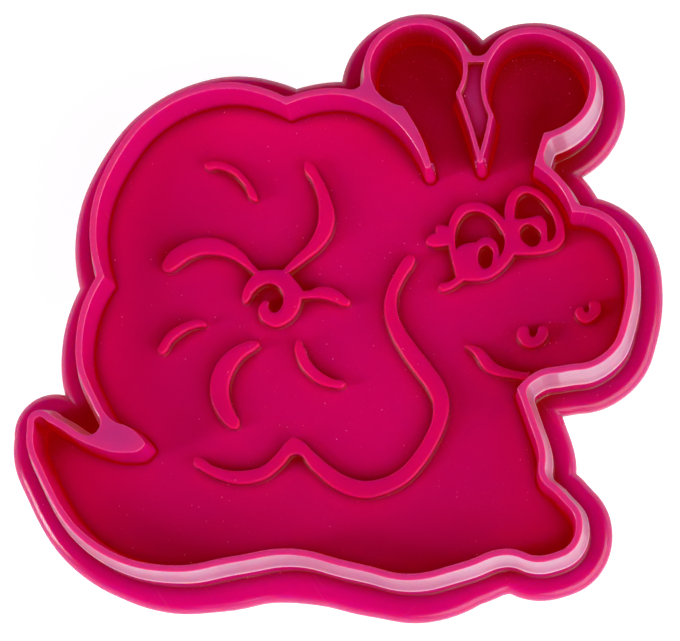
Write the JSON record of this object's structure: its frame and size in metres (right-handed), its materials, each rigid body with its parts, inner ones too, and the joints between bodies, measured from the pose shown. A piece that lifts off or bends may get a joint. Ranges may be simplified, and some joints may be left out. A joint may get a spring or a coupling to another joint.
{
  "type": "plunger cutter",
  "caption": "Snail-shaped plunger cutter with a bevelled cutting edge, a finger flange, a sprung embossing plate and a round press knob that ejects the cut piece.",
  "frame": {"origin": "centre of the press knob's flat end face, on the plunger's axis", "axes": "+Z from the press knob to the cutting edge, +X towards the snail's head, +Y towards its antennae"},
  "size_m": [0.0722, 0.0686, 0.0352],
  "materials": {
    "shell_plastic": "moulded gloss, magenta",
    "stamp_plastic": "moulded satin gloss, magenta",
    "plunger_plastic": "moulded gloss, magenta",
    "spring_steel": "drawn spring wire"
  },
  "bodies": {
    "cutter": {"cutter_shell": "shell_plastic", "return_spring": "spring_steel"},
    "plunger": {"stamp_plate": "stamp_plastic", "plunger_stem": "plunger_plastic", "press_knob": "plunger_plastic"}
  },
  "joints": [
    {"name": "plunger_press", "type": "slide", "parent": "cutter", "child": "plunger", "axis": [0, 0, 1], "range_m": [0, 0.008], "stiffness_N_per_m": 600, "springref_m": -0.006, "deforming": ["return_spring"]}
  ]
}
